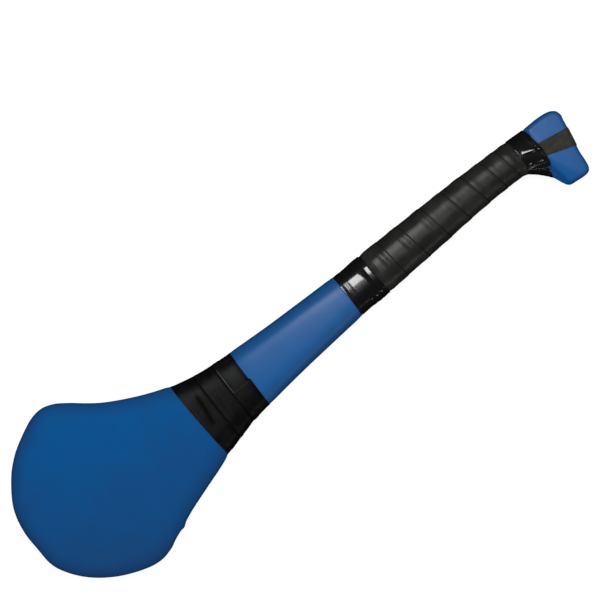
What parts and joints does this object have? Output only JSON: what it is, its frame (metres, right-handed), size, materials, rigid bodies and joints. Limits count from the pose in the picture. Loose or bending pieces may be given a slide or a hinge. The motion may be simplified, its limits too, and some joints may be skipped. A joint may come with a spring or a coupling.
{
  "type": "hurley",
  "caption": "Child's soft foam hurley: a wide flat rounded end on a slim shaft with a wound grip and a hooked butt, for striking a ball.",
  "frame": {"origin": "middle of the base that it lies on, at the back of the bas", "axes": "+X along the shaft from the bas to the butt, +Y towards the high edge of the bas, +Z out of the face"},
  "size_m": [0.4558, 0.1294, 0.024],
  "materials": {
    "foam": "integral foam skin, satin",
    "core": "pultruded, semi gloss",
    "cloth_tape": "coated cloth tape, low sheen",
    "collar_tape": "stretched vinyl tape, gloss",
    "grip": "soft satin",
    "butt_tape": "matt tape"
  },
  "bodies": {
    "root": {"foam_body": "foam", "core_rod": "core", "neck_tape": "cloth_tape", "lower_collar_tape": "collar_tape", "grip_wrap": "grip", "upper_collar_tape": "collar_tape", "butt_strip": "butt_tape"}
  },
  "joints": []
}
